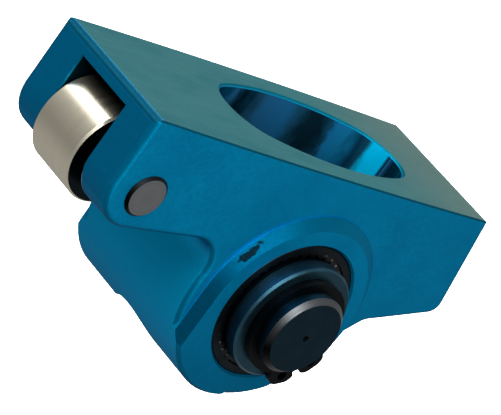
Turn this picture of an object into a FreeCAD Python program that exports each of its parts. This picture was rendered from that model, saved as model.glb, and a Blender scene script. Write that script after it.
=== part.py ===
import FreeCAD, Part
import math
import os
import re

import Sketcher

# Full-roller rocker arm on a needle-roller fulcrum bearing.
#
# Frame, millimetres: the origin is where the trunnion axis crosses the stud
# bore axis.  +X runs to the pushrod end, the roller end is at -X, +Y is the
# far side and +Z is up, along the stud.
#
# Turned pieces are drawn as half sections (radius, distance outward from the
# middle of the arm) and turned about their own Z axis; their placements then
# lay that axis along +Y for the far side or -Y for the near side.

SIZES = [
    # alias, value, what it is
    ("axle_setback", 35.4, "trunnion axis to roller axle, along X"),
    ("nose_beyond_axle", 6.3, "roller axle to nose face, along X"),
    ("tail_top_reach", 28.8, "trunnion axis to top corner of the tail"),
    ("tail_heel_reach", 32.4, "trunnion axis to bottom corner of the tail"),
    ("tail_heel_height", 4.9, "bottom corner of the tail above the axis"),
    ("top_height", 20.8, "top plane above the axis"),
    ("flank_top_reach", 18.75, "tail underside meets the rear flank, along X"),
    ("flank_top_height", 0.85, "tail underside meets the rear flank, along Z"),
    ("flank_foot_reach", 6.3, "rear flank meets the lobe, along X"),
    ("lobe_radius", 15.1, "round lobe under the trunnion"),
    ("lobe_setback", 2.0, "lobe centre ahead of the trunnion axis"),
    ("leg_root_height", 7.17, "leg underside meets the lobe, along Z"),
    ("leg_toe_height", 4.0, "leg underside at the nose, along Z"),
    ("nose_top_round", 1.1, "round between nose face and top plane"),
    ("tail_top_round", 1.0, "round at the top corner of the tail"),
    ("tail_heel_round", 2.0, "round at the bottom corner of the tail"),
    ("flank_top_round", 3.0, "hollow round under the tail"),
    ("flank_foot_round", 6.0, "round between flank and lobe"),
    ("leg_root_round", 4.5, "hollow round between lobe and leg"),
    ("leg_toe_round", 5.8, "round end of the legs"),
    ("body_width", 24.2, "over the side faces at the widest place"),
    ("side_bow", 0.75, "how far each side face bulges between nose and tail"),
    ("side_round", 0.9, "round along the edges of the side faces"),
    ("crown_stock", 5.8, "stock above the top plane, planed off"),
    ("top_edge", 0.25, "chamfer where the side faces meet the top plane"),
    ("boss_radius", 15.3, "round boss about the trunnion bore"),
    ("boss_proud", 1.4, "boss face beyond the side face"),
    ("boss_bevel", 1.6, "bevel at the boss rim, radial"),
    ("boss_bevel_depth", 1.2, "bevel at the boss rim, along the bore"),
    ("lobe_bevel", 0.5, "bevel round the lobe where it is as wide as the boss"),
    ("bore_edge", 0.3, "chamfer at the bore mouth"),
    ("fork_near_room", 1.75, "near leg to roller face"),
    ("fork_far_room", 0.15, "far leg to roller face"),
    ("fork_headroom", 1.356, "slot roof to roller"),
    ("fork_backroom", 1.156, "back of the slot to roller"),
    ("window_length", 35.8, "adjuster window in the top plane, along X"),
    ("window_width", 16.3, "adjuster window, along Y"),
    ("window_end_radius", 6.2, "small radius at the window ends"),
    ("window_setback", 0.8, "window centre ahead of the trunnion axis"),
    ("window_floor", 5.0, "window floor above the trunnion axis"),
    ("window_edge", 0.35, "chamfer round the window mouth"),
    ("throat_length", 21.4, "stud throat through the lobe, along X"),
    ("throat_width", 15.8, "stud throat, along Y"),
    ("throat_end_radius", 5.6, "small radius at the throat ends"),
    ("bore_radius", 11.1125, "bearing bore through both side walls"),
    ("cup_recess", 0.3, "bearing cup face below the boss face"),
    ("cup_length", 4.9, "bearing cup over its two lips"),
    ("cup_wall", 0.7625, "drawn cup wall between bore and raceway"),
    ("cup_lip", 0.4, "thickness of the cup lips"),
    ("cup_lip_reach", 1.2, "how far each lip turns in from the cup outside"),
    ("needle_radius", 0.79375, "needle roller"),
    ("needle_end_play", 0.05, "needle end to cup lip"),
    ("needle_end_chamfer", 0.15, "needle end corner"),
    ("race_clearance", 0.0156, "needle to raceway, each side"),
    ("spindle_radius", 6.35, "plain ends of the trunnion"),
    ("spindle_overhang", 2.1, "trunnion end beyond the snap ring"),
    ("spindle_chamfer", 0.7, "chamfer on the trunnion ends"),
    ("shoulder_recess", 0.1, "journal shoulder below the boss face"),
    ("centre_mark_radius", 0.5, "lathe centre in each trunnion end"),
    ("centre_mark_depth", 0.4, "depth of the lathe centre"),
    ("seat_height", 6.5, "nut seat above the trunnion axis"),
    ("seat_length", 15.4, "nut seat, along Y"),
    ("stud_bore_radius", 5.65, "hole for the mounting stud"),
    ("stud_bore_chamfer", 0.4, "chamfer at both ends of the stud hole"),
    ("washer_margin", 1.9125, "bearing bore to thrust washer, radial"),
    ("washer_thickness", 2.4, "thrust washer"),
    ("washer_edge", 0.3, "chamfer on the thrust washer"),
    ("washer_end_play", 0.05, "washer to shoulder and washer to snap ring"),
    ("washer_clearance", 0.05, "washer bore to trunnion end, radial"),
    ("ring_rise", 1.25, "snap ring beyond the trunnion end, radial"),
    ("ring_thickness", 1.1, "snap ring"),
    ("ring_groove_depth", 0.7, "snap ring groove in the trunnion end"),
    ("ring_groove_play", 0.04, "snap ring to groove wall"),
    ("ring_lug_length", 2.2, "snap ring lug beyond the ring"),
    ("ring_lug_width", 4.2, "snap ring lug across"),
    ("ring_lug_angle", 16.0, "each lug away from the middle of the ring gap"),
    ("ring_gap_angle", -48.5, "middle of the ring gap, from +X up towards +Z"),
    ("ring_gap_width", 1.2, "opening between the two lugs"),
    ("ring_lug_round", 1.5, "round at the corners of a snap ring lug"),
    ("ring_hole_radius", 0.75, "plier hole in a lug"),
    ("ring_hole_rise", 0.8, "plier hole centre beyond the ring"),
    ("axle_drop", 10.6, "roller axle below the top plane"),
    ("axle_radius", 3.175, "roller axle"),
    ("axle_proud", 0.62, "axle end beyond the side face at the nose"),
    ("axle_chamfer", 0.38, "chamfer on the axle ends"),
    ("roller_radius", 7.14375, "roller"),
    ("roller_width", 9.0, "roller between its faces"),
    ("roller_clearance", 0.03, "roller bore to axle, radial"),
    ("roller_edge", 0.3, "chamfer at the roller rim and bore"),
    ("seat_insert_radius", 4.3, "hardened pushrod insert, outside"),
    ("seat_insert_length", 5.0, "hardened pushrod insert"),
    ("seat_reach", 24.2, "insert axis where it meets the tail underside, X"),
    ("seat_rim", 0.32, "insert outside to ball seat, radial"),
    ("seat_ball_depth", 3.2, "ball seat below the tail underside"),
]

# Sizes that follow from the ones above.
DERIVED = {
    "nose_reach": "axle_setback + nose_beyond_axle",
    "axle_height": "top_height - axle_drop",
    "fork_width": "roller_width + fork_near_room + fork_far_room",
    "fork_back": "axle_setback - roller_radius - fork_backroom",
    "fork_roof": "axle_height + roller_radius + fork_headroom",
    "roller_shift": "( fork_near_room - fork_far_room ) / 2",
    "boss_face": "body_width / 2 + boss_proud",
    "raceway": "bore_radius - cup_wall",
    "pitch": "raceway - race_clearance - needle_radius",
    "journal": "raceway - 2 * race_clearance - 2 * needle_radius",
    "needle_count": "floor( 180 deg / asin( needle_radius / pitch ) )",
    "shoulder_reach": "boss_face - shoulder_recess",
    "ring_start": "shoulder_reach + 2 * washer_end_play + washer_thickness",
    "ring_end": "ring_start + ring_thickness",
    "spindle_reach": "ring_end + spindle_overhang",
    "washer_radius": "bore_radius - washer_margin",
    "ring_radius": "spindle_radius + ring_rise",
    "ring_lug_reach": "ring_radius + ring_lug_length",
    "ring_hole_reach": "ring_radius + ring_hole_rise",
    "seat_ball_radius": "seat_insert_radius - seat_rim",
}

doc = FreeCAD.newDocument("rocker_arm")
sheet = doc.addObject("Spreadsheet::Sheet", "sizes")
value = {}
for row, (alias, number, meaning) in enumerate(SIZES, start=1):
    sheet.set(f"A{row}", alias)
    sheet.set(f"B{row}", str(number))
    sheet.set(f"C{row}", meaning)
    sheet.setAlias(f"B{row}", alias)
    value[alias] = number
probe = doc.addObject("App::FeaturePython", "probe")
probe.addProperty("App::PropertyFloat", "Reading")
doc.recompute()


# ---------------------------------------------------------------- helpers

def cells(text):
    """Expression text with every size name pointed at the sheet.

    Args:
        text: arithmetic on size names, for example "bore_radius - cup_wall".
            Names of derived sizes are spelled out.

    Returns:
        The same arithmetic, readable by the expression engine.
    """
    def point(word):
        """What one word of the text stands for."""
        name = word[0]
        if name in DERIVED:
            return f"({cells(DERIVED[name])})"
        return f"sizes.{name}" if name in value else name

    return re.sub("[a-z_]+", point, text)


def number_of(text):
    """Value of an expression text, used as the first guess of a sketch.

    Args:
        text: the same arithmetic that cells() takes.

    Returns:
        The number it stands for with the sizes above.
    """
    probe.setExpression("Reading", cells(text))
    probe.recompute()
    return probe.Reading


def bind(item, **links):
    """Tie properties of a document object to sizes.

    Args:
        item: the document object.
        **links: property name and expression text.
    """
    for name, text in links.items():
        item.setExpression(name, cells(text))


def place(item, base=("0", "0", "0"), axis="z", turn=0.0):
    """Set the placement of an object and tie its position to sizes.

    Args:
        item: the document object.
        base: expression texts for X, Y and Z; "0" leaves one at nought.
        axis: where the object's own Z axis goes: "z", "y" or "-y".
        turn: extra turn about the object's own Z axis, in degrees.
    """
    lean = {"z": 0.0, "y": -90.0, "-y": 90.0}[axis]
    spin = FreeCAD.Rotation(FreeCAD.Vector(0, 0, 1), turn)
    tilt = FreeCAD.Rotation(FreeCAD.Vector(1, 0, 0), lean)
    spot = FreeCAD.Vector(*[number_of(text) for text in base])
    item.Placement = FreeCAD.Placement(spot, tilt.multiply(spin))
    for letter, text in zip("xyz", base):
        if text != "0":
            item.setExpression(f".Placement.Base.{letter}", cells(text))


def origin_part(body, role):
    """Plane or axis of a body's own origin.

    Args:
        body: the PartDesign body.
        role: for example "XZ_Plane" or "Z_Axis".

    Returns:
        The origin feature with that role.
    """
    return next(part for part in body.Origin.OriginFeatures if part.Role == role)


def new_sketch(body, name, role="XZ_Plane"):
    """Empty sketch on an origin plane of a body.

    Args:
        body: the PartDesign body.
        name: name of the sketch.
        role: origin plane it lies on.

    Returns:
        The sketch.
    """
    sketch = body.newObject("Sketcher::SketchObject", name)
    sketch.AttachmentSupport = [(origin_part(body, role), "")]
    sketch.MapMode = "FlatFace"
    return sketch


def pin_point(sketch, geometry, which, across, along):
    """Fix a sketch point at two expressions.

    Args:
        sketch: the sketch.
        geometry: index of the line or arc.
        which: 1 start, 2 end, 3 centre.
        across: expression text for the horizontal position.
        along: expression text for the vertical position.
    """
    spots = (("DistanceX", across, -2), ("DistanceY", along, -1))
    for kind, text, axis in spots:
        if text == "0":
            rule = Sketcher.Constraint("PointOnObject", geometry, which, axis)
            sketch.addConstraint(rule)
            continue
        start = number_of(text)
        rule = Sketcher.Constraint(kind, -1, 1, geometry, which, start)
        index = sketch.addConstraint(rule)
        sketch.setExpression(f"Constraints[{index}]", cells(text))


def polygon(sketch, corners):
    """Closed outline of straight lines, each corner tied to sizes.

    Args:
        sketch: the sketch.
        corners: pairs of expression texts, in order round the outline.
    """
    spots = [
        FreeCAD.Vector(number_of(across), number_of(along), 0)
        for across, along in corners
    ]
    first = sketch.GeometryCount
    count = len(spots)
    for index, spot in enumerate(spots):
        line = Part.LineSegment(spot, spots[(index + 1) % count])
        sketch.addGeometry(line, False)
    for index in range(count):
        after = first + (index + 1) % count
        rule = Sketcher.Constraint("Coincident", first + index, 2, after, 1)
        sketch.addConstraint(rule)
    for index, (across, along) in enumerate(corners):
        pin_point(sketch, first + index, 1, across, along)


def circle(sketch, across, along, radius):
    """Circle tied to sizes.

    Args:
        sketch: the sketch.
        across: expression text for the horizontal position of the centre.
        along: expression text for the vertical position of the centre.
        radius: expression text.
    """
    centre = FreeCAD.Vector(number_of(across), number_of(along), 0)
    normal = FreeCAD.Vector(0, 0, 1)
    shape = Part.Circle(centre, normal, number_of(radius))
    index = sketch.addGeometry(shape, False)
    if across == "0" and along == "0":
        rule = Sketcher.Constraint("Coincident", index, 3, -1, 1)
        sketch.addConstraint(rule)
    else:
        pin_point(sketch, index, 3, across, along)
    rule = Sketcher.Constraint("Radius", index, number_of(radius))
    size = sketch.addConstraint(rule)
    sketch.setExpression(f"Constraints[{size}]", cells(radius))


def oval(sketch, length, width, end_radius, setback):
    """Oval of four arcs that meet smoothly, long axis along X.

    Args:
        sketch: the sketch.
        length: expression text for the length.
        width: expression text for the width.
        end_radius: expression text for the radius of the two ends.
        setback: expression text for how far the centre lies towards -X.
    """
    half = f"( {length} ) / 2 - ( {end_radius} )"
    side = (
        f"( ( {half} ) ^ 2 + ( ( {width} ) / 2 ) ^ 2 - ( {end_radius} ) ^ 2 )"
        f" / ( 2 * ( ( {width} ) / 2 - ( {end_radius} ) ) )"
    )
    reach = number_of(half)
    small = number_of(end_radius)
    large = number_of(side)
    drop = large - number_of(width) / 2
    middle = -number_of(setback)
    lean = math.atan2(drop, reach)
    normal = FreeCAD.Vector(0, 0, 1)

    def arc(x, y, radius, start, end):
        """Arc from its centre, radius and two angles in radians."""
        ring = Part.Circle(FreeCAD.Vector(middle + x, y, 0), normal, radius)
        return Part.ArcOfCircle(ring, start, end)

    arcs = [
        arc(reach, 0, small, -lean, lean),
        arc(0, -drop, large, lean, math.pi - lean),
        arc(-reach, 0, small, math.pi - lean, math.pi + lean),
        arc(0, drop, large, math.pi + lean, 2 * math.pi - lean),
    ]
    first = sketch.addGeometry(arcs, False)[0]
    for index in range(4):
        after = first + (index + 1) % 4
        rule = Sketcher.Constraint("Tangent", first + index, 2, after, 1)
        sketch.addConstraint(rule)
    pin_point(sketch, first, 3, f"{half} - {setback}", "0")
    pin_point(sketch, first + 2, 3, f"- ( {half} ) - {setback}", "0")
    for index, radius in enumerate((end_radius, side, end_radius, side)):
        start = number_of(radius)
        rule = Sketcher.Constraint("Radius", first + index, start)
        size = sketch.addConstraint(rule)
        sketch.setExpression(f"Constraints[{size}]", cells(radius))


def new_body(name):
    """Empty PartDesign body.

    Args:
        name: label of the body.

    Returns:
        The body.
    """
    body = doc.addObject("PartDesign::Body", name)
    body.Label = name
    return body


def turned(name, sections):
    """Body of revolution about its own Z axis.

    Args:
        name: label of the body.
        sections: outlines of (radius, height) expression texts; the first
            one is solid, the others are cut out of it.

    Returns:
        The body.
    """
    body = new_body(name)
    for step, section in enumerate(sections):
        sketch = new_sketch(body, f"{name}_section_{step}")
        polygon(sketch, section)
        kind = "Groove" if step else "Revolution"
        turn = body.newObject(f"PartDesign::{kind}", f"{name}_turn_{step}")
        turn.Profile = sketch
        turn.ReferenceAxis = (sketch, ["V_Axis"])
        turn.Angle = 360.0
        sketch.Visibility = False
    body.Tip = turn
    return body


def prism(name, role, draw, length, both_ways=False, flare=0.0):
    """Body padded from one sketch.

    Args:
        name: label of the body.
        role: origin plane of the sketch.
        draw: function that draws the outline into the sketch it is given.
        length: expression text for the pad length.
        both_ways: pad half the length to each side of the plane.
        flare: how much its walls lean outward, in degrees.

    Returns:
        The body.
    """
    body = new_body(name)
    sketch = new_sketch(body, f"{name}_outline", role)
    draw(sketch)
    pad = body.newObject("PartDesign::Pad", f"{name}_pad")
    pad.Profile = sketch
    pad.Midplane = both_ways
    pad.TaperAngle = flare
    bind(pad, Length=length)
    sketch.Visibility = False
    body.Tip = pad
    return body


def cylinder(name, radius, height, base=("0", "0", "0"), axis="z"):
    """Part cylinder tied to sizes.

    Args:
        name: label.
        radius: expression text.
        height: expression text.
        base: expression texts for the middle of the starting face.
        axis: where it points: "z", "y" or "-y".

    Returns:
        The cylinder.
    """
    item = doc.addObject("Part::Cylinder", name)
    bind(item, Radius=radius, Height=height)
    place(item, base, axis)
    return item


def combine(kind, name, shapes):
    """Common or union of several objects.

    Args:
        kind: "MultiCommon" or "MultiFuse".
        name: label.
        shapes: the objects.

    Returns:
        The combined object.
    """
    item = doc.addObject(f"Part::{kind}", name)
    item.Shapes = shapes
    item.Refine = True
    return item


def cut(name, base, tool):
    """One object cut by another.

    Args:
        name: label.
        base: object that keeps its material.
        tool: object taken away.

    Returns:
        The cut object; it is checked that material was removed.
    """
    item = doc.addObject("Part::Cut", name)
    item.Base = base
    item.Tool = tool
    item.Refine = True
    doc.recompute()
    if item.Shape.Volume > base.Shape.Volume - 0.01:
        raise ValueError(f"{name} removed nothing")
    return item


def straight_edge(shape, way, spot):
    """Straight edge nearest to a place, of those that run one way.

    Args:
        shape: the shape to look through.
        way: unit vector along the edge.
        spot: the place.

    Returns:
        Name of the edge, such as "Edge7".
    """
    best = None
    for index, edge in enumerate(shape.Edges, start=1):
        start, end = edge.Vertexes[0].Point, edge.Vertexes[-1].Point
        run = end - start
        if run.cross(way).Length > 0.001 or run.Length < 0.5:
            continue
        away = (start - spot).cross(way).Length
        if best is None or away < best[0]:
            best = (away, f"Edge{index}")
    return best[1]


def round_edges(body, way, rounds):
    """Fillet straight edges of a body one after another.

    Args:
        body: the PartDesign body.
        way: unit vector along the edges.
        rounds: pairs of a place on the edge and the name of the radius.
    """
    for step, (spot, radius) in enumerate(rounds):
        doc.recompute()
        tip = body.Tip
        edge = straight_edge(tip.Shape, way, spot)
        fillet = body.newObject("PartDesign::Fillet", f"{body.Label}_round_{step}")
        fillet.Base = (tip, [edge])
        bind(fillet, Radius=radius)
        body.Tip = fillet


def in_side_view(reach, height):
    """Point in the middle plane of the arm from its X and Z."""
    return FreeCAD.Vector(reach, 0, height)


# ---------------------------------------------------------------- arm body

tail_slope = "( ( tail_heel_reach - tail_top_reach ) / ( top_height - tail_heel_height ) )"


def draw_side_view(sketch):
    """Side outline of the arm, drawn on above the top plane."""
    corners = [
        ("- nose_reach", "leg_toe_height"),
        ("- nose_reach", "top_height + crown_stock"),
        (f"tail_top_reach - crown_stock * {tail_slope}", "top_height + crown_stock"),
        ("tail_heel_reach", "tail_heel_height"),
        ("flank_top_reach", "flank_top_height"),
    ]
    spots = [
        FreeCAD.Vector(number_of(across), number_of(along), 0)
        for across, along in corners
    ]
    centre = FreeCAD.Vector(-value["lobe_setback"], 0, 0)
    radius = value["lobe_radius"]
    foot_x = value["flank_foot_reach"] - centre.x
    root_z = value["leg_root_height"]
    foot_angle = 2 * math.pi - math.acos(foot_x / radius)
    root_angle = math.pi - math.asin(root_z / radius)
    ring = Part.Circle(centre, FreeCAD.Vector(0, 0, 1), radius)
    lobe = Part.ArcOfCircle(ring, root_angle, foot_angle)
    chain = spots + [lobe.EndPoint, lobe.StartPoint]
    for start, end in zip(chain[:5], chain[1:6]):
        sketch.addGeometry(Part.LineSegment(start, end), False)
    sketch.addGeometry(Part.LineSegment(chain[6], chain[0]), False)
    sketch.addGeometry(lobe, False)
    for index in range(4):
        rule = Sketcher.Constraint("Coincident", index, 2, index + 1, 1)
        sketch.addConstraint(rule)
    sketch.addConstraint(Sketcher.Constraint("Coincident", 4, 2, 6, 2))
    sketch.addConstraint(Sketcher.Constraint("Coincident", 6, 1, 5, 1))
    sketch.addConstraint(Sketcher.Constraint("Coincident", 5, 2, 0, 1))
    for index, (across, along) in enumerate(corners):
        pin_point(sketch, index, 1, across, along)
    pin_point(sketch, 6, 3, "- lobe_setback", "0")
    rule = Sketcher.Constraint("Radius", 6, radius)
    size = sketch.addConstraint(rule)
    sketch.setExpression(f"Constraints[{size}]", cells("lobe_radius"))
    rule = Sketcher.Constraint("DistanceX", -1, 1, 4, 2, value["flank_foot_reach"])
    foot = sketch.addConstraint(rule)
    sketch.setExpression(f"Constraints[{foot}]", cells("flank_foot_reach"))
    rule = Sketcher.Constraint("DistanceY", -1, 1, 5, 1, root_z)
    root = sketch.addConstraint(rule)
    sketch.setExpression(f"Constraints[{root}]", cells("leg_root_height"))


blank = prism(
    "arm_blank", "XZ_Plane", draw_side_view, "body_width + 2 * boss_proud", True
)
lobe_foot_drop = math.sqrt(
    value["lobe_radius"] ** 2
    - (value["flank_foot_reach"] + value["lobe_setback"]) ** 2
)
lobe_root_reach = -value["lobe_setback"] - math.sqrt(
    value["lobe_radius"] ** 2 - value["leg_root_height"] ** 2
)
across = FreeCAD.Vector(0, 1, 0)
toe_corner = in_side_view(-number_of("nose_reach"), value["leg_toe_height"])
heel_corner = in_side_view(value["tail_heel_reach"], value["tail_heel_height"])
flank_corner = in_side_view(value["flank_top_reach"], value["flank_top_height"])
root_corner = in_side_view(lobe_root_reach, value["leg_root_height"])
foot_corner = in_side_view(value["flank_foot_reach"], -lobe_foot_drop)
round_edges(blank, across, [
    (toe_corner, "leg_toe_round"),
    (heel_corner, "tail_heel_round"),
    (flank_corner, "flank_top_round"),
    (root_corner, "leg_root_round"),
    (foot_corner, "flank_foot_round"),
])

# The two side faces are parts of very large cylinders, so the arm is a
# little wider in the middle than at its ends.
body_span = "( nose_reach + tail_heel_reach )"
bow_radius = f"( ( {body_span} / 2 ) ^ 2 + side_bow ^ 2 ) / ( 2 * side_bow )"
bow_middle = "( tail_heel_reach - nose_reach ) / 2"
bow_height = "4 * top_height"
near_bow = cylinder(
    "near_side_bow", bow_radius, bow_height,
    (bow_middle, f"{bow_radius} - body_width / 2", "- 2 * top_height"),
)
far_bow = cylinder(
    "far_side_bow", bow_radius, bow_height,
    (bow_middle, f"body_width / 2 - {bow_radius}", "- 2 * top_height"),
)
core = combine("MultiCommon", "arm_core", [blank, near_bow, far_bow])
doc.recompute()


def side_outline_edges(shape):
    """Edges that the two bowed side faces share with the rest.

    Args:
        shape: the arm core.

    Returns:
        Indices of those edges, counted from one; the ones along the
        top are left out.
    """
    found = set()
    for face in shape.Faces:
        wide = face.BoundBox.XLength > number_of("nose_reach")
        thin = face.BoundBox.YLength < 2 * value["side_bow"]
        if not (wide and thin):
            continue
        for edge in face.Edges:
            if edge.BoundBox.ZMin > value["top_height"]:
                continue
            for index, other in enumerate(shape.Edges, start=1):
                if other.isSame(edge):
                    found.add(index)
    return sorted(found)


eased_core = doc.addObject("Part::Fillet", "arm_core_eased")
eased_core.Base = core
eased_core.Edges = [
    (index, value["side_round"], value["side_round"])
    for index in side_outline_edges(core.Shape)
]

# The top is planed off afterwards, so its edges stay sharper.
crown_block = prism(
    "crown_block", "XZ_Plane",
    lambda sketch: polygon(sketch, [
        ("- nose_reach", "- 2 * top_height"),
        ("- nose_reach", "top_height"),
        ("tail_top_reach", "top_height"),
        (f"tail_top_reach + 3 * top_height * {tail_slope}", "- 2 * top_height"),
    ]),
    "2 * body_width", True,
)
round_edges(crown_block, across, [
    (in_side_view(-number_of("nose_reach"), value["top_height"]), "nose_top_round"),
    (in_side_view(value["tail_top_reach"], value["top_height"]), "tail_top_round"),
])
edge_cones = []
for side, way in (("near", 1), ("far", -1)):
    cone = turned(f"{side}_top_edge_cone", [[
        ("0", "- 2 * top_height"),
        (f"{bow_radius} - top_edge + 3 * top_height", "- 2 * top_height"),
        (f"{bow_radius} - top_edge - 5", "top_height + 5"),
        ("0", "top_height + 5"),
    ]])
    place(cone, (bow_middle, f"{way} * ( {bow_radius} - body_width / 2 )", "0"))
    edge_cones.append(cone)
planed_core = combine(
    "MultiCommon", "arm_core_planed", [eased_core, crown_block, *edge_cones]
)

boss = turned("bearing_boss", [[
    ("0", "- boss_face"),
    ("boss_radius - boss_bevel", "- boss_face"),
    ("boss_radius", "boss_bevel_depth - boss_face"),
    ("boss_radius", "boss_face - boss_bevel_depth"),
    ("boss_radius - boss_bevel", "boss_face"),
    ("0", "boss_face"),
]])
place(boss, axis="y")

# Under the axis the front of the lobe is as wide as the boss.
skirt = prism(
    "lobe_skirt", "XY_Plane",
    lambda sketch: polygon(sketch, [
        ("0", "- boss_face"),
        ("0", "boss_face"),
        ("boss_bevel - boss_radius", "boss_face"),
        ("- boss_radius", "boss_face - boss_bevel_depth"),
        ("- boss_radius", "boss_bevel_depth - boss_face"),
        ("boss_bevel - boss_radius", "- boss_face"),
    ]),
    "2 * lobe_radius",
)
place(skirt, ("0", "0", "- 2 * lobe_radius"))
lobe_rim = turned("lobe_rim", [[
    ("0", "- boss_face"),
    ("lobe_radius - lobe_bevel", "- boss_face"),
    ("lobe_radius + 1", "lobe_bevel + 1 - boss_face"),
    ("lobe_radius + 1", "boss_face - lobe_bevel - 1"),
    ("lobe_radius - lobe_bevel", "boss_face"),
    ("0", "boss_face"),
]])
place(lobe_rim, ("- lobe_setback", "0", "0"), "y")
trimmed_skirt = combine("MultiCommon", "lobe_skirt_trimmed", [skirt, lobe_rim])
wide_part = combine("MultiFuse", "boss_and_skirt", [boss, trimmed_skirt])
clipped_boss = combine("MultiCommon", "bearing_boss_clipped", [blank, wide_part])
solid_arm = combine("MultiFuse", "arm_solid", [planed_core, clipped_boss])

fork = doc.addObject("Part::Box", "fork_slot")
bind(
    fork, Length="nose_reach - fork_back + 5", Width="fork_width",
    Height="fork_roof + 2 * top_height",
)
place(fork, ("- nose_reach - 5", "- fork_width / 2", "- 2 * top_height"))

def draw_window(sketch):
    """Outline of the adjuster window."""
    oval(
        sketch, "window_length", "window_width",
        "window_end_radius", "window_setback",
    )


window = prism("adjuster_window", "XY_Plane", draw_window, "2 * top_height")
place(window, ("0", "0", "window_floor"))
mouth = prism(
    "window_mouth", "XY_Plane", draw_window, "window_edge + 1", flare=45.0
)
place(mouth, ("0", "0", "top_height - window_edge"))

throat = prism(
    "stud_throat", "XY_Plane",
    lambda sketch: oval(
        sketch, "throat_length", "throat_width",
        "throat_end_radius", "window_setback",
    ),
    "2 * lobe_radius",
)
place(throat, ("0", "0", "- 2 * lobe_radius"))

bore = turned("bearing_bore", [[
    ("0", "- boss_face - 1"),
    ("bore_radius + bore_edge + 1", "- boss_face - 1"),
    ("bore_radius", "bore_edge - boss_face"),
    ("bore_radius", "boss_face - bore_edge"),
    ("bore_radius + bore_edge + 1", "boss_face + 1"),
    ("0", "boss_face + 1"),
]])
place(bore, axis="y")

axle_hole = cylinder(
    "axle_hole", "axle_radius", "2 * body_width",
    ("- axle_setback", "- body_width", "axle_height"), "y",
)

# The pushrod insert stands square to the tail underside.
underside_rise = "( tail_heel_height - flank_top_height )"
underside_run = "( tail_heel_reach - flank_top_reach )"
seat_z = (
    f"flank_top_height + ( seat_reach - flank_top_reach )"
    f" * {underside_rise} / {underside_run}"
)
seat_lean = math.degrees(math.atan2(
    number_of(underside_rise), number_of(underside_run)
))


def stand_on_underside(item, depth=0.0):
    """Stand an object in the tail underside, its own +Z pointing in.

    Args:
        item: the document object.
        depth: how far along its axis it is moved inward, negative for out.
    """
    lean = FreeCAD.Rotation(FreeCAD.Vector(0, 1, 0), -seat_lean)
    spot = FreeCAD.Vector(value["seat_reach"], 0, number_of(seat_z))
    spot += lean.multVec(FreeCAD.Vector(0, 0, depth))
    item.Placement = FreeCAD.Placement(spot, lean)


seat_pocket = doc.addObject("Part::Cylinder", "seat_pocket")
bind(seat_pocket, Radius="seat_insert_radius", Height="seat_insert_length + 5")
stand_on_underside(seat_pocket, -5.0)

cutters = combine(
    "MultiFuse", "arm_cutters",
    [fork, window, mouth, throat, bore, axle_hole, seat_pocket],
)
arm_body = cut("arm_body", solid_arm, cutters)

# ---------------------------------------------------------------- trunnion

shaft = turned("trunnion_shaft", [
    [
        ("0", "- spindle_reach"),
        ("spindle_radius - spindle_chamfer", "- spindle_reach"),
        ("spindle_radius", "spindle_chamfer - spindle_reach"),
        ("spindle_radius", "- shoulder_reach"),
        ("journal", "- shoulder_reach"),
        ("journal", "shoulder_reach"),
        ("spindle_radius", "shoulder_reach"),
        ("spindle_radius", "spindle_reach - spindle_chamfer"),
        ("spindle_radius - spindle_chamfer", "spindle_reach"),
        ("0", "spindle_reach"),
    ],
    [
        ("0", "spindle_reach + 1"),
        ("0", "spindle_reach - centre_mark_depth"),
        ("centre_mark_radius", "spindle_reach"),
        ("centre_mark_radius", "spindle_reach + 1"),
    ],
    [
        ("0", "- spindle_reach - 1"),
        ("0", "centre_mark_depth - spindle_reach"),
        ("centre_mark_radius", "- spindle_reach"),
        ("centre_mark_radius", "- spindle_reach - 1"),
    ],
])
for side, sign in (("near", "- "), ("far", "")):
    groove_start = f"{sign}( ring_start - ring_groove_play )"
    groove_end = f"{sign}( ring_end + ring_groove_play )"
    sketch = new_sketch(shaft, f"{side}_ring_groove")
    polygon(sketch, [
        ("spindle_radius - ring_groove_depth", groove_start),
        ("spindle_radius + 1", groove_start),
        ("spindle_radius + 1", groove_end),
        ("spindle_radius - ring_groove_depth", groove_end),
    ])
    groove = shaft.newObject("PartDesign::Groove", f"{side}_ring_groove_cut")
    groove.Profile = sketch
    groove.ReferenceAxis = (sketch, ["V_Axis"])
    groove.Angle = 360.0
    sketch.Visibility = False
    shaft.Tip = groove
place(shaft, axis="y")

seat_cut = doc.addObject("Part::Box", "nut_seat_cut")
bind(seat_cut, Length="2 * bore_radius", Width="seat_length", Height="bore_radius")
place(seat_cut, ("- bore_radius", "- seat_length / 2", "seat_height"))
stud_bore = turned("stud_bore", [[
    ("0", "- journal - 1"),
    ("stud_bore_radius + stud_bore_chamfer + 1", "- journal - 1"),
    ("stud_bore_radius + stud_bore_chamfer", "- journal"),
    ("stud_bore_radius", "stud_bore_chamfer - journal"),
    ("stud_bore_radius", "seat_height - stud_bore_chamfer"),
    ("stud_bore_radius + stud_bore_chamfer", "seat_height"),
    ("stud_bore_radius + stud_bore_chamfer", "seat_height + 1"),
    ("0", "seat_height + 1"),
]])
trunnion_cutters = combine(
    "MultiFuse", "trunnion_cutters", [seat_cut, stud_bore]
)
trunnion = cut("trunnion", shaft, trunnion_cutters)

# ---------------------------------------------------------------- bearings

def ring_step(body, kind, name, draw):
    """Pad or pocket one outline of a snap ring.

    Args:
        body: the snap ring body.
        kind: "Pad" or "Pocket".
        name: name of the step.
        draw: function that draws the outline into the sketch it is given.
    """
    sketch = new_sketch(body, f"{name}_outline", "XY_Plane")
    draw(sketch)
    sketch.AttachmentOffset.Base.z = number_of("ring_start")
    sketch.setExpression(".AttachmentOffset.Base.z", cells("ring_start"))
    step = body.newObject(f"PartDesign::{kind}", name)
    step.Profile = sketch
    bind(step, Length="ring_thickness")
    if kind == "Pocket":
        step.Reversed = True
    sketch.Visibility = False
    body.Tip = step
    doc.recompute()


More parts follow.
